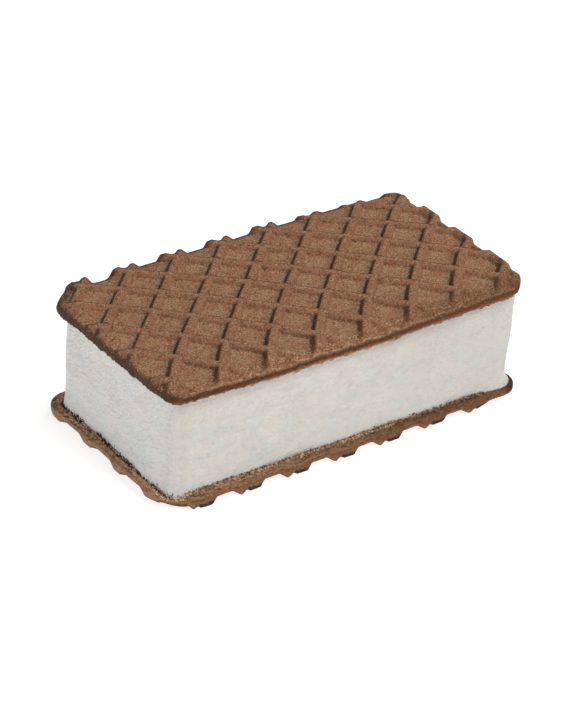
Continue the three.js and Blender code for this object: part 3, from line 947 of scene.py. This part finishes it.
upperWafer = {
    **wafer,
    "frontLeft": 7 * mm, "frontRight": 6 * mm, "backLeft": 12 * mm, "backRight": 4 * mm,
    "seed": 2.1,
    "teeth": 0.6 * mm,
    "place": boxMiddle("wafer_top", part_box("wafer_top")[0].z),
    "turn": (0.0, 0.0, 0.0),
    "sag": 1.25 * mm,
    "lipDrop": 1.0 * mm,
    "lipCornerLeft": 0.5,
    "lipCornerRight": 1.15,
    "rightPullY": -1.3 * mm,
    "crossFill": 0.8,
    "dent": 1.2 * mm,
    "wornFade": 0.4,
    "wornLevel": 0.35,
    "wornDip": 0.7 * mm,
    "rightLift": 0.6 * mm,
    "edgeRound": 0.75 * mm,
    "material": waferMaterial("bakedTop", bake),
}
lowerWafer = {
    **wafer,
    "frontLeft": 6 * mm, "frontRight": 6 * mm, "backLeft": 12 * mm, "backRight": 6 * mm,
    "patternX": -3.0 * mm,
    "patternY": -1.4 * mm,
    "leftPullX": -2.4 * mm,
    "leftPullY": 0.2 * mm,
    "leftOpen": 1.0,
    "leftTaper": 0.2,
    "ridgeFadeEnd": 0.12,
    "length": 111.8 * mm,
    "frontPullX": 0.0,
    "frontPullY": 0.0,
    "backPullX": 0.0,
    "backPullY": 0.0,
    "ridgeTop": 0.7 * mm,
    "ridgeFoot": 4.2 * mm,
    "ridgeFade": -0.25,
    "edgeTaper": 0.3,
    "steepShift": 0.45 * mm,
    "endTopSteep": 2.4 * mm,
    "endTopLevel": 0.3 * mm,
    "endRaiseLevel": 0.12,
    "cornerFill": 0.8,
    "crossFill": 0.75,
    "crossFillRight": 0.0,
    "lipAllRound": 1.0,
    "farFade": 0.8,
    "seed": 0.4,
    "teeth": 0.2 * mm,
    "place": boxMiddle("wafer_bottom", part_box("wafer_bottom")[1].z, 0.15 * mm),
    "turn": (math.pi, 0.0, math.radians(0.4)),
    "material": waferMaterial("bakedBottom", {
        # the lower wafer's lip tone is a painted highlight along its upper rounded edge
        **bake, "edge": (0.215, 0.122, 0.070, 1), "lip": (0.38, 0.22, 0.12, 1),
        "left": (0.50, 0.32, 0.20, 1), "leftShare": 0.4, "rightShare": 0.9, "underShare": 0.9,
        "crackShare": 0.8, "cornerShare": 0.0, "lowBandShare": 0.0}),
}
grow("waferTop", waferPress, upperWafer, ["wafer_top"])
grow("waferBottom", waferPress, lowerWafer, ["wafer_bottom"])

slabPlace = boxMiddle("ice_cream", slabLow.z)
grow("iceCream", slabNet(), {**slab, "place": slabPlace, "material": iceCreamMaterial()},
     ["ice_cream"])

crumbPress = crumbNet()
darkCrumb = crumbMaterial("darkCrumb", (0.022, 0.011, 0.007, 1), (0.09, 0.045, 0.024, 1))
brownCrumb = crumbMaterial("brownCrumb", (0.15, 0.072, 0.038, 1), (0.34, 0.19, 0.105, 1))
paleCrumb = crumbMaterial("paleCrumb", (0.36, 0.22, 0.13, 1), (0.70, 0.50, 0.33, 1))
goldenCrumb = crumbMaterial("goldenCrumb", (0.33, 0.185, 0.10, 1), (0.60, 0.41, 0.25, 1))
toLeft, toFront = {"side": (-4.6, 0.0, 0.0), "xTo": -52.6 * mm}, {"side": (0.0, -4.0, 0.0)}
scatters = {
    "crumbsDark": {
        **toLeft, "material": darkCrumb, "count": 3300, "gather": 0.62, "seed": 3,
        "outFrom": 0.7 * mm, "outTo": 1.3 * mm, "upTo": 0.5 * mm,
        "smallest": 0.14 * mm, "largest": 0.6 * mm},
    "crumbsSliver": {
        **toLeft, "material": darkCrumb, "count": 900, "gather": 0.7, "seed": 17,
        "outFrom": 0.6 * mm, "outTo": 1.1 * mm, "upFrom": 0.3 * mm, "upTo": 1.2 * mm,
        "smallest": 0.09 * mm, "largest": 0.2 * mm, "stretch": 4.5},
    "crumbsGolden": {
        **toFront, "material": goldenCrumb, "count": 6000, "gather": 0.44, "seed": 40,
        "outFrom": 0.6 * mm, "outTo": 1.3 * mm, "upFrom": 0.0, "upTo": 0.7 * mm,
        "xTo": 14 * mm, "clump": 2.0 * mm, "smallest": 0.14 * mm, "largest": 0.42 * mm},
    "crumbsBrown": {
        **toFront, "material": brownCrumb, "count": 4600, "gather": 0.47, "seed": 55,
        "outFrom": 0.45 * mm, "outTo": 0.95 * mm, "upFrom": 0.0, "upTo": 0.9 * mm,
        "xFrom": -52 * mm, "xTo": 44 * mm, "clump": 1.6 * mm,
        "smallest": 0.12 * mm, "largest": 0.5 * mm},
    "crumbsFlake": {
        **toLeft, "material": paleCrumb, "count": 4000, "gather": 0.56, "seed": 61,
        "side": (-4.0, 0.0, 0.0), "xTo": -51 * mm, "clump": 2.0 * mm,
        "outFrom": 1.3 * mm, "outTo": 2.5 * mm, "upTo": 0.1 * mm,
        "smallest": 0.1 * mm, "largest": 0.38 * mm},
    "crumbsPile": {
        **toFront, "material": goldenCrumb, "count": 3400, "gather": 0.48, "seed": 83,
        "outFrom": 0.35 * mm, "outTo": 0.8 * mm, "upTo": 1.2 * mm,
        "xFrom": -1 * mm, "xTo": 25 * mm, "smallest": 0.12 * mm, "largest": 0.42 * mm},
    "crumbsSpeck": {
        **toFront, "material": darkCrumb, "count": 600, "gather": 0.6, "seed": 29,
        "outFrom": 0.5 * mm, "outTo": 0.9 * mm, "upFrom": 0.1 * mm, "upTo": 1.5 * mm,
        "xFrom": -6 * mm, "xTo": 28 * mm, "smallest": 0.1 * mm, "largest": 0.34 * mm},
}
for name, change in scatters.items():
    grow(name, crumbPress, {**crumb, "place": slabPlace, **change})


# Stage, light and camera

studio = {
    "lampDistance": 1.2,
    "worldStrength": 0.12,
    "floorHalf": 3.0,
    "floorColour": (0.40, 0.40, 0.405, 1),
    "floorGlow": 0.8,
}
lamps = {  # azimuth 0 is in front, 90 to the right
    "key": {"azimuth": 3, "height": 50, "size": 0.5, "power": 7.0, "tint": (1.0, 0.98, 0.95)},
    "high": {"azimuth": 90, "height": 60, "size": 0.5, "power": 5.6, "tint": (1.0, 0.99, 0.97)},
    "left": {"azimuth": 282, "height": 10, "size": 0.4, "power": 4.8, "tint": (0.90, 0.97, 1.0)},
    "right": {"azimuth": 80, "height": 10, "size": 0.4, "power": 0.8, "tint": (1.0, 0.98, 0.95)},
}


def softLight(name, azimuth, height, size, power, tint):
    light = bpy.data.lights.new(name, "AREA")
    light.shape = "DISK"
    light.size = size
    light.energy = power
    light.color = tint
    lamp = bpy.data.objects.new(name, light)
    turn, rise = math.radians(azimuth), math.radians(height)
    towards = Vector((math.sin(turn) * math.cos(rise), -math.cos(turn) * math.cos(rise), math.sin(rise)))
    lamp.location = towards * studio["lampDistance"]
    lamp.rotation_euler = towards.to_track_quat("Z", "Y").to_euler()
    lamp.visible_camera = False
    bpy.context.collection.objects.link(lamp)


def softWorld():
    world = bpy.data.worlds.new("studio")
    world.use_nodes = True
    background = world.node_tree.nodes["Background"]
    background.inputs["Color"].default_value = (1, 1, 1, 1)
    background.inputs["Strength"].default_value = studio["worldStrength"]
    bpy.context.scene.world = world
    bpy.context.scene.view_settings.view_transform = "Standard"


def paleFloor():
    mesh = bpy.data.meshes.new("floor")
    half = studio["floorHalf"]
    corners = [(-half, -half, 0), (half, -half, 0), (half, half, 0), (-half, half, 0)]
    mesh.from_pydata(corners, [], [(0, 1, 2, 3)])
    floor = bpy.data.objects.new("floor", mesh)
    bpy.context.collection.objects.link(floor)
    material, net = shaderNet("paleFloor")
    shader = net.add("ShaderNodeBsdfPrincipled", inputs={
        "Base Color": studio["floorColour"], "Roughness": 0.9, "Specular IOR Level": 0.1,
        "Emission Color": (1, 1, 1, 1), "Emission Strength": studio["floorGlow"]})
    net.add("ShaderNodeOutputMaterial", inputs={"Surface": shader})
    mesh.materials.append(material)


view = {
    "aim": (-1.46 * mm, -1.63 * mm, 16.67 * mm),
    "azimuth": -36.164,
    "elevation": 30.977,
    "roll": 2.753,
    "distance": 813.5 * mm,
    "lens": 159.32,
    "sensor": 36.0,
}


def placeCamera():
    data = bpy.data.cameras.new("camera")
    data.lens, data.sensor_width = view["lens"], view["sensor"]
    data.clip_start, data.clip_end = 0.05, 20
    camera = bpy.data.objects.new("camera", data)
    bpy.context.collection.objects.link(camera)
    azimuth, elevation = math.radians(view["azimuth"]), math.radians(view["elevation"])
    level = math.cos(elevation)
    back = Vector((math.sin(azimuth) * level, -math.cos(azimuth) * level, math.sin(elevation)))
    turn = back.to_track_quat("Z", "Y").to_matrix() @ Matrix.Rotation(math.radians(view["roll"]), 3, "Z")
    place = Vector(view["aim"]) + back * view["distance"]
    camera.matrix_world = Matrix.Translation(place) @ turn.to_4x4()
    bpy.context.scene.camera = camera


paleFloor()
for name, lamp in lamps.items():
    softLight(name, **lamp)
softWorld()
placeCamera()
print("stage, lights and camera placed")
